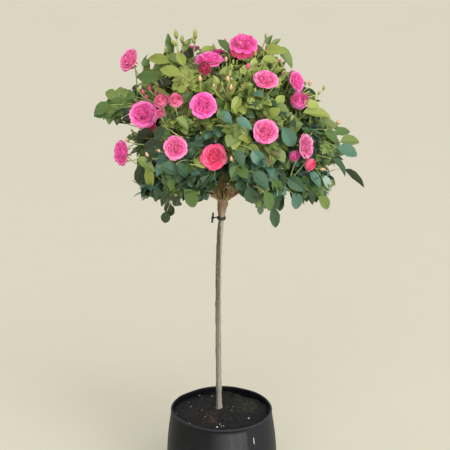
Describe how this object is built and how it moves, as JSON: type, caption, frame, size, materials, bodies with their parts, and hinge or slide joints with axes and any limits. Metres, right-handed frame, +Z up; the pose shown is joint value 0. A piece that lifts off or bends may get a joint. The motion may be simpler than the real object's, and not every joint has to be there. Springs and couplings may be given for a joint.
{
  "type": "potted half-standard rose",
  "caption": "Half-standard rose: a bare stem with a rounded crown of leaves and pink double flowers, in a barrel-shaped black pot.",
  "frame": {"origin": "centre of the pot's flat underside", "axes": "+Z up along the stem; the plant is seen from -Y, with +X to the right"},
  "size_m": [0.729, 0.6249, 1.3613],
  "materials": {
    "pot_plastic": "dusty satin black",
    "potting_soil": "moist, crumbly",
    "bark": "grey-brown, finely fissured",
    "young_wood": "smooth green shoots, some reddish",
    "tie_rubber": "matt black",
    "leaves": "satin leaf",
    "petals": "soft matt petal"
  },
  "bodies": {
    "root": {"bough_back_left": "young_wood", "bough_back_right": "young_wood", "bough_front_left": "young_wood", "bough_front_right": "young_wood", "bough_leader": "young_wood", "bough_left": "young_wood", "bough_right": "young_wood", "bud_spray_right": "leaves", "bud_spray_top_left": "leaves", "bud_spray_top_middle": "leaves", "bud_spray_top_right": "leaves", "flower_spray_left": "petals", "flower_spray_top": "petals", "flower_spray_upper_left": "petals", "foliage_cap": "leaves", "foliage_heart": "leaves", "foliage_shoulder_1": "leaves", "foliage_shoulder_2": "leaves", "foliage_shoulder_3": "leaves", "foliage_shoulder_4": "leaves", "foliage_shoulder_5": "leaves", "foliage_shoulder_6": "leaves", "foliage_skirt_1": "leaves", "foliage_skirt_2": "leaves", "foliage_skirt_3": "leaves", "foliage_skirt_4": "leaves", "foliage_skirt_5": "leaves", "foliage_skirt_6": "leaves", "foliage_skirt_7": "leaves", "foliage_upper_1": "leaves", "foliage_upper_2": "leaves", "foliage_upper_3": "leaves", "foliage_upper_4": "leaves", "foliage_upper_5": "leaves", "foliage_waist_1": "leaves", "foliage_waist_2": "leaves", "foliage_waist_3": "leaves", "foliage_waist_4": "leaves", "foliage_waist_5": "leaves", "foliage_waist_6": "leaves", "foliage_waist_7": "leaves", "hanging_spray_left": "leaves", "hanging_spray_right": "leaves", "leaf_spray_back": "leaves", "leaf_spray_back_right": "leaves", "leaf_spray_bottom_right": "leaves", "leaf_spray_front": "leaves", "leaf_spray_left": "leaves", "leaf_spray_low_right": "leaves", "leaf_spray_right": "leaves", "pot": "pot_plastic", "potting_soil": "potting_soil", "stem": "bark", "stem_tie": "tie_rubber"}
  },
  "joints": []
}
